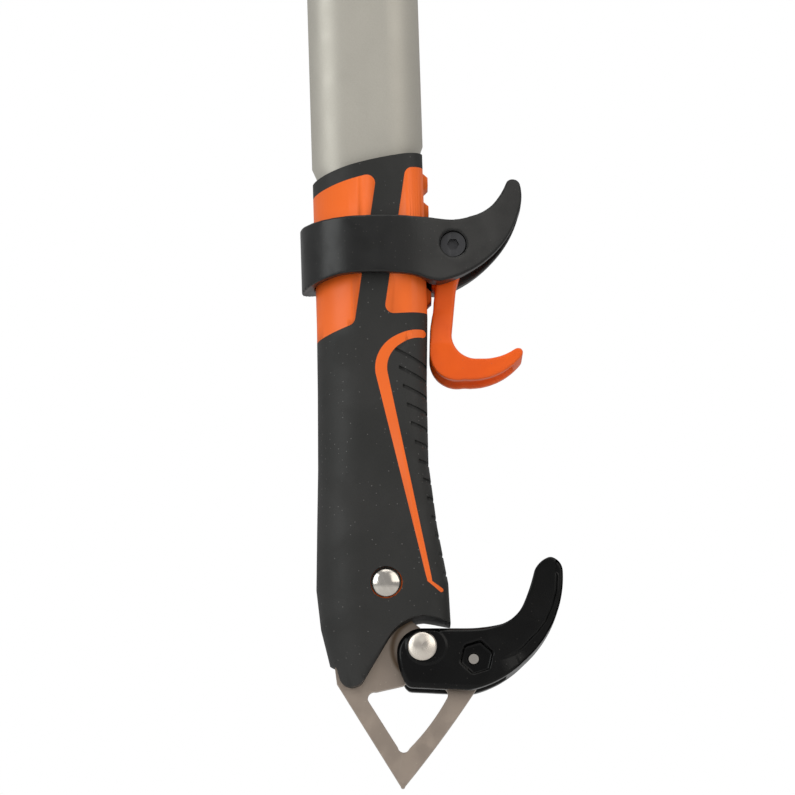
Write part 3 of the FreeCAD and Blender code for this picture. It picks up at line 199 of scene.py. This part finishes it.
class Finish:
    """A material with one Principled shader, and short ways to add detail to it."""

    def __init__(self, name, colour, roughness, metallic=0.0, **constants):
        self.material = bpy.data.materials.new(name)
        self.material.use_nodes = True
        self.tree = self.material.node_tree
        self.nodes = self.tree.nodes
        self.links = self.tree.links
        self.shader = self.nodes["Principled BSDF"]
        self.shader.inputs["Base Color"].default_value = (*colour, 1)
        self.shader.inputs["Roughness"].default_value = roughness
        self.shader.inputs["Metallic"].default_value = metallic
        for label, value in constants.items():
            self.shader.inputs[label.replace("_", " ")].default_value = value
        self.colour = None
        self.start_colour = (*colour, 1)
        self.normal = None

    def effect(self, name, **values):
        """Places a shared effect with its own numbers and gives its output."""
        node = self.nodes.new("ShaderNodeGroup")
        node.node_tree = EFFECTS[name]
        for label, value in values.items():
            node.inputs[label].default_value = value
        return node.outputs[0]

    def scaled(self, source, factor):
        """The same mask, weaker or stronger."""
        return math_node(self.tree, "MULTIPLY", source, factor)

    def tint(self, mask, colour):
        """Mixes another colour in where the mask is 1."""
        mix = self.nodes.new("ShaderNodeMix")
        mix.data_type = "RGBA"
        self.links.new(mask, mix.inputs[COLOUR_MASK])
        if self.colour is None:
            mix.inputs[COLOUR_FIRST].default_value = self.start_colour
        else:
            self.links.new(self.colour, mix.inputs[COLOUR_FIRST])
        mix.inputs[COLOUR_SECOND].default_value = (*colour, 1)
        self.colour = mix.outputs[COLOUR_MIXED]
        self.links.new(self.colour, self.shader.inputs["Base Color"])

    def away_from(self, centre):
        """The way from an axis that runs across the tool through a place, and how far it is."""
        place = self.nodes.new("ShaderNodeTexCoord").outputs["Object"]
        offset = self.nodes.new("ShaderNodeVectorMath")
        offset.operation = "SUBTRACT"
        offset.inputs[1].default_value = centre
        flat = self.nodes.new("ShaderNodeVectorMath")
        flat.operation = "MULTIPLY"
        flat.inputs[1].default_value = (1, 0, 1)
        length = self.nodes.new("ShaderNodeVectorMath")
        length.operation = "LENGTH"
        self.links.new(place, offset.inputs[0])
        self.links.new(offset.outputs[0], flat.inputs[0])
        self.links.new(flat.outputs[0], length.inputs[0])
        return flat.outputs[0], length.outputs["Value"]

    def band(self, distance, start, middle, end):
        """1 at the middle distance, falling softly to 0 at start and end."""
        rise = ramp(self.tree, distance, start, middle)
        fall = ramp(self.tree, distance, end, middle)
        return math_node(self.tree, "MULTIPLY", rise, fall)

    def turn_about(self, centre, strength):
        """Lays fine marks in circles round an axis, as turning does, and gives the way off it."""
        away, distance = self.away_from(centre)
        around = self.nodes.new("ShaderNodeVectorMath")
        around.operation = "CROSS_PRODUCT"
        around.inputs[1].default_value = (0, 1, 0)
        self.links.new(away, around.inputs[0])
        self.links.new(around.outputs[0], self.shader.inputs["Tangent"])
        self.shader.inputs["Anisotropic"].default_value = strength
        return distance

    def vary_roughness(self, mask, low, high):
        """Roughness low where the mask is 0 and high where it is 1."""
        node = self.nodes.new("ShaderNodeMapRange")
        node.inputs["To Min"].default_value = low
        node.inputs["To Max"].default_value = high
        self.links.new(mask, node.inputs["Value"])
        self.links.new(node.outputs["Result"], self.shader.inputs["Roughness"])

    def bump(self, height, depth, strength=1.0):
        """Raises the surface by depth metres where the height is 1."""
        node = self.nodes.new("ShaderNodeBump")
        node.inputs["Distance"].default_value = depth
        node.inputs["Strength"].default_value = strength
        self.links.new(height, node.inputs["Height"])
        if self.normal is not None:
            self.links.new(self.normal, node.inputs["Normal"])
        self.normal = node.outputs["Normal"]
        self.links.new(self.normal, self.shader.inputs["Normal"])


print("finish helper ready")

# %% [markdown]
# The tube is aluminium, blasted with fine beads and anodised, so it is satin with a sparkling grain.
# The grip is two mouldings: a hard orange core and a soft black cover that picks up dust.

# %% Finishes of tube and grip
def tube_finish():
    """Pale warm metal, half of its light from a matt skin and half from its shine."""
    made = Finish("blasted_aluminium", (0.46, 0.435, 0.38), 0.50, 0.45)
    grain = made.effect("grain", Scale=2600.0, Detail=3.0)
    made.tint(made.scaled(grain, 0.5), (0.60, 0.58, 0.53))
    made.tint(made.scaled(made.effect("smear", Scale=26.0), 0.12), (0.38, 0.36, 0.32))
    made.vary_roughness(made.effect("smear", Scale=90.0), 0.46, 0.54)
    made.bump(grain, 0.00006, 0.45)
    return made.material


def core_finish():
    """Hard plastic, a little darker where it is worn, with a few specks of dirt."""
    made = Finish("orange_core_plastic", (0.90, 0.155, 0.020), 0.50, Specular_IOR_Level=0.3)
    made.tint(made.scaled(made.effect("smear", Scale=55.0), 0.3), (0.82, 0.125, 0.015))
    made.tint(made.scaled(made.effect("specks", Scale=1100.0, Size=0.10), 0.35), (0.35, 0.10, 0.05))
    made.vary_roughness(made.effect("smear", Scale=120.0), 0.40, 0.54)
    made.bump(made.effect("grain", Scale=3500.0, Detail=2.0), 0.00002, 0.5)
    return made.material


def cover_finish():
    """Matt rubber with a fine grain and pale dust."""
    made = Finish("soft_black_rubber", (0.020, 0.020, 0.019), 0.60, Specular_IOR_Level=0.32)
    made.tint(made.scaled(made.effect("smear", Scale=45.0), 0.6), (0.030, 0.029, 0.028))
    made.tint(made.scaled(made.effect("specks", Scale=850.0, Size=0.15), 0.5), (0.16, 0.155, 0.15))
    made.vary_roughness(made.effect("smear", Scale=80.0), 0.55, 0.70)
    made.bump(made.effect("grain", Scale=2200.0, Detail=4.0), 0.00008, 0.5)
    return made.material


MATERIALS = {"shaft": tube_finish(), "orange_core": core_finish(), "soft_cover": cover_finish()}
print("finishes:", ", ".join(MATERIALS))

# %% [markdown]
# The trigger rest and the hand rest are hard nylon mouldings: nearly black, the hand rest glossier
# where hands polish it. The trigger lever is the same plastic in a stronger orange than the core.

# %% Finishes of the moulded rests
def moulded_finish(name, colour, worn, roughness, spread, shine=0.35):
    """Nylon in a colour, with worn patches of another, and as glossy as its roughness and shine say."""
    made = Finish(name, colour, roughness, Specular_IOR_Level=shine)
    made.tint(made.scaled(made.effect("smear", Scale=70.0), 0.7), worn)
    made.tint(made.scaled(made.effect("specks", Scale=1000.0, Size=0.12), 0.35), (0.12, 0.11, 0.10))
    made.vary_roughness(made.effect("smear", Scale=110.0), roughness - spread, roughness + spread)
    made.bump(made.effect("grain", Scale=2600.0, Detail=3.0), 0.00003, 0.5)
    return made.material


MATERIALS["collar_black"] = moulded_finish(
    "black_nylon", (0.008, 0.008, 0.008), (0.014, 0.014, 0.014), 0.38, 0.06)
MATERIALS["rest_black"] = moulded_finish(
    "polished_black_nylon", (0.003, 0.003, 0.003), (0.005, 0.005, 0.005), 0.26, 0.06, 0.17)
MATERIALS["lever_orange"] = moulded_finish(
    "orange_nylon", (0.90, 0.120, 0.004), (0.80, 0.095, 0.003), 0.42, 0.05)
MATERIALS["packing"] = moulded_finish(
    "plain_packing", (0.05, 0.05, 0.05), (0.07, 0.07, 0.07), 0.55, 0.05)
print("finishes:", ", ".join(MATERIALS))

# %% [markdown]
# The metal parts differ most in how they were worked. The plate is stamped stainless steel, ground
# flat, with scratches in two directions and a warm tone. The rivets are polished, the hand rest's one
# was turned and keeps its fine rings, and the head is forged and painted black.

# %% Finishes of the metal parts
DULLED = 0.82


def steel(name, colour, roughness, scratch_turn, scratch_strength, scratch_colour):
    """Bare steel with short scratches one way, long ones across them, and duller patches."""
    made = Finish(name, colour, roughness, 1.0)
    fine = made.effect("scratches", Scale=2600.0, Turn=scratch_turn, Length=40.0)
    long = made.effect("scratches", Scale=900.0, Turn=scratch_turn + 1.1, Length=60.0)
    dull_colour = tuple(part * DULLED for part in colour)
    made.tint(made.scaled(made.effect("smear", Scale=60.0), 0.35), dull_colour)
    made.tint(made.scaled(long, 0.35 * scratch_strength), scratch_colour)
    made.vary_roughness(made.effect("smear", Scale=140.0), roughness - 0.05, roughness + 0.07)
    made.bump(fine, 0.00001, 0.6 * scratch_strength)
    made.bump(long, 0.00002, 0.4 * scratch_strength)
    return made


STAIN_INNER, STAIN_MIDDLE, STAIN_OUTER = 0.0070, 0.0083, 0.0096
RINGS_PER_METRE = 26000.0


def plate_finish():
    """Stamped plate, with a brown stain where it meets the hub of the hand rest."""
    made = steel("ground_stainless", (0.52, 0.43, 0.36), 0.38, 0.3, 0.35, (0.62, 0.56, 0.48))
    distance = made.away_from(REST_CENTRE)[1]
    stain = made.band(distance, STAIN_INNER, STAIN_MIDDLE, STAIN_OUTER)
    made.tint(made.scaled(stain, 0.75), (0.13, 0.070, 0.025))
    made.tint(made.scaled(made.effect("specks", Scale=700.0, Size=0.12), 0.4), (0.75, 0.68, 0.55))
    return made.material


def turned_finish():
    """Faced in a lathe: fine rings, and a shine that is drawn out across them."""
    made = steel("turned_steel", (0.72, 0.66, 0.59), 0.30, 0.2, 0.3, (0.80, 0.76, 0.70))
    distance = made.turn_about(REST_CENTRE, 0.85)
    rings = math_node(made.tree, "SINE", made.scaled(distance, RINGS_PER_METRE), 0)
    made.bump(rings, 0.000004, 0.5)
    return made.material


def forged_finish():
    """Black paint on a rough forging, chipped here and there."""
    made = Finish("painted_forging", (0.022, 0.022, 0.023), 0.42)
    made.tint(made.scaled(made.effect("smear", Scale=50.0), 0.5), (0.032, 0.032, 0.033))
    made.tint(made.scaled(made.effect("specks", Scale=500.0, Size=0.14), 0.5), (0.30, 0.29, 0.28))
    made.vary_roughness(made.effect("smear", Scale=90.0), 0.36, 0.50)
    made.bump(made.effect("grain", Scale=1200.0, Detail=4.0), 0.00010, 0.5)
    return made.material


MATERIALS["plate"] = plate_finish()
MATERIALS["rivet"] = steel(
    "polished_steel", (0.62, 0.58, 0.53), 0.20, 0.9, 0.8, (0.78, 0.75, 0.70)).material
MATERIALS["turned_rivet"] = turned_finish()
MATERIALS["screw"] = steel(
    "blackened_steel", (0.10, 0.10, 0.105), 0.34, 0.5, 0.5, (0.22, 0.22, 0.22)).material
MATERIALS["blade"] = steel(
    "blade_steel", (0.44, 0.43, 0.41), 0.33, 0.1, 1.0, (0.60, 0.59, 0.57)).material
MATERIALS["forged"] = forged_finish()
print("finishes:", ", ".join(MATERIALS))

# %% [markdown]
# A solid arrives as loose triangles. To shade smoothly and to take a rounded edge, a copy of it is
# merged into one skin first, and its flat areas are joined back into whole faces. The copy then
# stands for the solid: it rides on the same body and takes the same finish.

# %% Turn solids into pieces
RECORD = frame["record"]
BODY_OF = {node: body for body, nodes in RECORD["behaviour"]["bodies"].items() for node in nodes}
SLOT_OF = {part["node"]: part["material_slot"] for part in RECORD["subparts"]}
MERGE_DISTANCE = 0.000002


def eased(value):
    """0 below 0, 1 above 1 and a smooth rise between."""
    value = min(max(value, 0.0), 1.0)
    return value * value * (3 - 2 * value)


def merged_copy(node, flat_angle=0.5):
    """The solid's mesh as one skin with whole flat faces."""
    form = bmesh.new()
    form.from_mesh(frame["nodes"][node].data)
    bmesh.ops.remove_doubles(form, verts=form.verts, dist=MERGE_DISTANCE)
    if flat_angle:
        bmesh.ops.dissolve_limit(form, angle_limit=math.radians(flat_angle), verts=form.verts,
                                 edges=form.edges)
    return form


def round_edges(form, width, segments=2, sharper=30.0):
    """Rounds every edge where two faces meet at more than that angle."""
    edges = [edge for edge in form.edges
             if len(edge.link_faces) == 2 and edge.calc_face_angle(0) > math.radians(sharper)]
    bmesh.ops.bevel(form, geom=edges, offset=width, offset_type="OFFSET", affect="EDGES",
                    segments=segments, profile=0.5, clamp_overlap=True, material=-1)


def stand_in(form, node, smooth_angle=35.0):
    """Makes the mesh the piece that stands for a solid."""
    mesh = bpy.data.meshes.new(node + "_dressed")
    form.to_mesh(mesh)
    form.free()
    mesh.shade_smooth()
    mesh.set_sharp_from_angle(angle=math.radians(smooth_angle))
    mesh.materials.append(MATERIALS[SLOT_OF[node]])
    piece = bpy.data.objects.new(node + "_dressed", mesh)
    bpy.context.scene.collection.objects.link(piece)
    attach(piece, BODY_OF[node])
    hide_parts(node)
    print(node, "faces:", len(mesh.polygons))


def soft_form(node, voxel, rounds):
    """Remakes a moulding in even small faces and relaxes them, which rounds every edge."""
    form = merged_copy(node, 0)
    mesh = bpy.data.meshes.new("blank")
    form.to_mesh(mesh)
    form.free()
    blank = bpy.data.objects.new("blank", mesh)
    bpy.context.scene.collection.objects.link(blank)
    remesh = blank.modifiers.new("even", "REMESH")
    remesh.mode = "VOXEL"
    remesh.voxel_size = voxel
    ready = blank.evaluated_get(bpy.context.evaluated_depsgraph_get())
    even = bpy.data.meshes.new_from_object(ready)
    bpy.data.objects.remove(blank)
    form = bmesh.new()
    form.from_mesh(even)
    bpy.data.meshes.remove(even)
    for _ in range(rounds):
        bmesh.ops.smooth_vert(form, verts=form.verts, factor=0.5, use_axis_x=True,
                              use_axis_y=True, use_axis_z=True)
    return form


print("solids to dress:", len(BODY_OF))

# %% [markdown]
# The tube and the grip's core keep their own shapes. The core shows through the soft cover's hole as
# a crescent, below the rivet and to its right, and nowhere else. So the hole's edge is drawn in
# towards the rivet everywhere but there.

# %% Tube and grip
for node in ("shaft", "grip_core"):
    stand_in(merged_copy(node), node)

HOLE_GAP = 0.00045
HOLE_TOLERANCE = 0.00006
LIP_REACH = 0.00036
CRESCENT_WAY = Vector((0.45, 0, -0.9))
rivet_low, rivet_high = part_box("spike_rivet")
rivet_middle = (rivet_low + rivet_high) / 2
hole_radius = (rivet_high.x - rivet_low.x) / 2 + HOLE_GAP
cover = merged_copy("grip_cover")
lip = 0
for vert in cover.verts:
    away = Vector((vert.co.x - rivet_middle.x, 0, vert.co.z - rivet_middle.z))
    if abs(away.length - hole_radius) < HOLE_TOLERANCE:
        share = eased(0.5 - 0.8 * away.normalized().dot(CRESCENT_WAY))
        vert.co -= away.normalized() * LIP_REACH * share
        lip += 1
print("corners moved round the rivet:", lip)
stand_in(cover, "grip_cover")

# %% [markdown]
# The two rests and the lever are mouldings without a single sharp edge. On each side of the hand rest
# a low oval pad surrounds its rivet, and a ridge runs up its back with a lower band outside it.

# %% Moulded rests and lever
PAD_CENTRE = at(15.2, 0, 38.9)
PAD_REACH = (0.0056, 0.0050)
PAD_RISE = 0.00035
PAD_END = 1.06
PAD_SLOPE = 0.1
RIDGE = [at(x, 0, z) for x, z in (
    (34.7, 35.2), (37.3, 36.4), (39.5, 37.4), (41.6, 38.9), (43.7, 41.3), (45.9, 43.4), (48.0, 46.2),
    (49.9, 50.5), (51.1, 54.8), (51.3, 59.0))]
BAND_DEPTH = 0.0009
BAND_SLOPE = 0.0008
BAND_FADE = 0.35
SIDES_START = 0.0055
FACING_START = 0.25
FACING_SPAN = 0.4
EVEN_FACES = 0.00030


def beyond_ridge(place):
    """How far outside the ridge a place is, and how far along the ridge, from 0 to 1."""
    best = None
    for number, (start, end) in enumerate(zip(RIDGE, RIDGE[1:])):
        way = Vector((end.x - start.x, end.z - start.z))
        offset = Vector((place.x - start.x, place.z - start.z))
        share = min(max(offset.dot(way) / way.length_squared, 0.0), 1.0)
        gap = offset - way * share
        if best is None or gap.length < best[0]:
            outside = gap.x * way.y - gap.y * way.x
            along = (number + share) / (len(RIDGE) - 1)
            best = (gap.length, math.copysign(gap.length, outside), along)
    return best[1], best[2]


def relief(place):
    """How much the side of the hand rest rises at a place."""
    across = (place.x - PAD_CENTRE.x) / PAD_REACH[0]
    up = (place.z - PAD_CENTRE.z) / PAD_REACH[1]
    rise = PAD_RISE * eased((PAD_END - math.hypot(across, up)) / PAD_SLOPE)
    outside, along = beyond_ridge(place)
    fall = BAND_DEPTH * eased(outside / BAND_SLOPE) * eased(along / BAND_FADE)
    return rise - fall


def mould_sides(form):
    """Raises and lowers both sides of the hand rest, and leaves its edges and its channel alone."""
    form.normal_update()
    moves = []
    for vert in form.verts:
        facing = eased((abs(vert.normal.y) - FACING_START) / FACING_SPAN)
        if facing > 0 and abs(vert.co.y) > SIDES_START:
            moves.append((vert, relief(vert.co) * facing * math.copysign(1, vert.normal.y)))
    for vert, rise in moves:
        vert.co.y += rise
    print("places moved on the hand rest:", len(moves))


rest_form = soft_form("grip_rest", EVEN_FACES, 8)
mould_sides(rest_form)
stand_in(rest_form, "grip_rest", 60.0)
for node, rounds in (("trigger_collar", 7), ("trigger_lever", 12)):
    stand_in(soft_form(node, EVEN_FACES, rounds), node, 60.0)

# %% [markdown]
# The spike plate is stamped and its edges are ground off, which leaves a bright narrow band all round.

# %% Spike plate
GROUND_EDGE = 0.0007
plate = merged_copy("spike_plate")
round_edges(plate, GROUND_EDGE, 1)
stand_in(plate, "spike_plate", 20.0)

# %% [markdown]
# Rivets, pins, the screw, nuts, bolts, the spring and the packing round the tang keep the shape of
# their solids, which is already theirs, domes and chamfers included.

# %% Fasteners and hidden pieces
FASTENERS = (
    "spike_rivet", "tang_pin", "rest_rivet", "rest_spacers", "rest_cross_pin", "lever_screw",
    "lever_nut", "lever_bush", "lever_spring", "pick_bolt", "pick_nut", "hammer_bolt",
    "hammer_nut", "head_rivets", "tang_spacer_near", "tang_spacer_far",
)
for node in FASTENERS:
    stand_in(merged_copy(node), node)

# %% [markdown]
# The head is forged, so its edges are well rounded. The pick is cut from plate and ground.

# %% Head, pick and hammer
for node, width, segments in (("head", 0.0011, 2), ("hammer", 0.0008, 2), ("pick", 0.0004, 1)):
    form = merged_copy(node)
    round_edges(form, width, segments)
    stand_in(form, node, 30.0)

# %% [markdown]
# The tool hangs in the air, well above a pale floor that keeps the view plain under it.

# %% Floor
FLOOR_DROP = 0.26
FLOOR_HALF = 4.0
floor_form = bmesh.new()
bmesh.ops.create_grid(floor_form, x_segments=1, y_segments=1, size=FLOOR_HALF)
bmesh.ops.translate(floor_form, verts=floor_form.verts, vec=(0, 0, TIP.z - FLOOR_DROP))
floor_mesh = bpy.data.meshes.new("floor")
floor_form.to_mesh(floor_mesh)
floor_form.free()
floor = bpy.data.objects.new("floor", floor_mesh)
bpy.context.scene.collection.objects.link(floor)
pale = Finish("pale_floor", (0.82, 0.82, 0.82), 0.8)
floor_mesh.materials.append(pale.material)
print("floor at", round(TIP.z - FLOOR_DROP, 3))

# %% [markdown]
# The photograph was taken from a little below: the camera is on the near side, 1.3 m off, and looks
# up by less than nine degrees.

# %% Camera
LOOK_UP = math.radians(8.7)
DISTANCE = 1.326
FRAME_PIXELS = 795
PIXELS_AT_ONE_METRE = 4702
SENSOR = 36
FRAME_CENTRE = at(7.19, 0, 110.2)
camera_data = bpy.data.cameras.new("camera")
camera = bpy.data.objects.new("camera", camera_data)
bpy.context.scene.collection.objects.link(camera)
camera_data.sensor_width = SENSOR
camera_data.lens = SENSOR * PIXELS_AT_ONE_METRE / FRAME_PIXELS
look = Vector((0, math.cos(LOOK_UP), math.sin(LOOK_UP)))
camera.location = FRAME_CENTRE - look * DISTANCE
camera.rotation_euler = (math.radians(90) + LOOK_UP, 0, 0)
camera_data.clip_end = 50
bpy.context.scene.camera = camera
print("camera at", [round(value, 3) for value in camera.location])

# %% [markdown]
# Soft studio light: a large lamp on the left gives the tube its long highlight, a weaker one on the
# right opens the shadows, and a third lights from above.

# %% Lamps
def lamp(name, place, target, size, power, colour=(1, 1, 1)):
    """A square soft lamp that faces a place."""
    data = bpy.data.lights.new(name, "AREA")
    data.shape = "SQUARE"
    data.size = size
    data.energy = power
    data.color = colour
    item = bpy.data.objects.new(name, data)
    bpy.context.scene.collection.objects.link(item)
    item.location = place
    item.rotation_mode = "QUATERNION"
    item.rotation_quaternion = (target - place).to_track_quat("-Z", "Y")


middle = at(0, 0, 110)
lamp("left_lamp", middle + Vector((-1.15, -0.75, 0.4)), middle, 1.0, 9.0, (0.97, 1.0, 0.99))
lamp("right_lamp", middle + Vector((1.0, -1.0, 0.6)), middle, 1.1, 6.0, (1.0, 0.97, 0.91))
lamp("top_lamp", middle + Vector((0.1, -0.5, 1.5)), middle, 1.2, 8.0, (1.0, 0.985, 0.95))
print("lamps:", len(bpy.data.lights))

# %% [markdown]
# The camera sees a white background. What falls on the tool from all round, and is mirrored in its
# shiny surfaces, is less than half as bright, which keeps black plastic black.

# %% White background
ROUND_LIGHT = 0.42
world = bpy.data.worlds.new("studio")
bpy.context.scene.world = world
world.use_nodes = True
room = world.node_tree
background = room.nodes["Background"]
ray = room.nodes.new("ShaderNodeLightPath").outputs
seen = math_node(room, "MAXIMUM", ray["Is Camera Ray"], ray["Is Transmission Ray"])
level = math_node(room, "MAXIMUM", seen, ROUND_LIGHT)
room.links.new(level, background.inputs["Strength"])
background.inputs["Color"].default_value = (1, 1, 1, 1)
bpy.context.scene.view_settings.view_transform = "Standard"
print("world:", world.name)
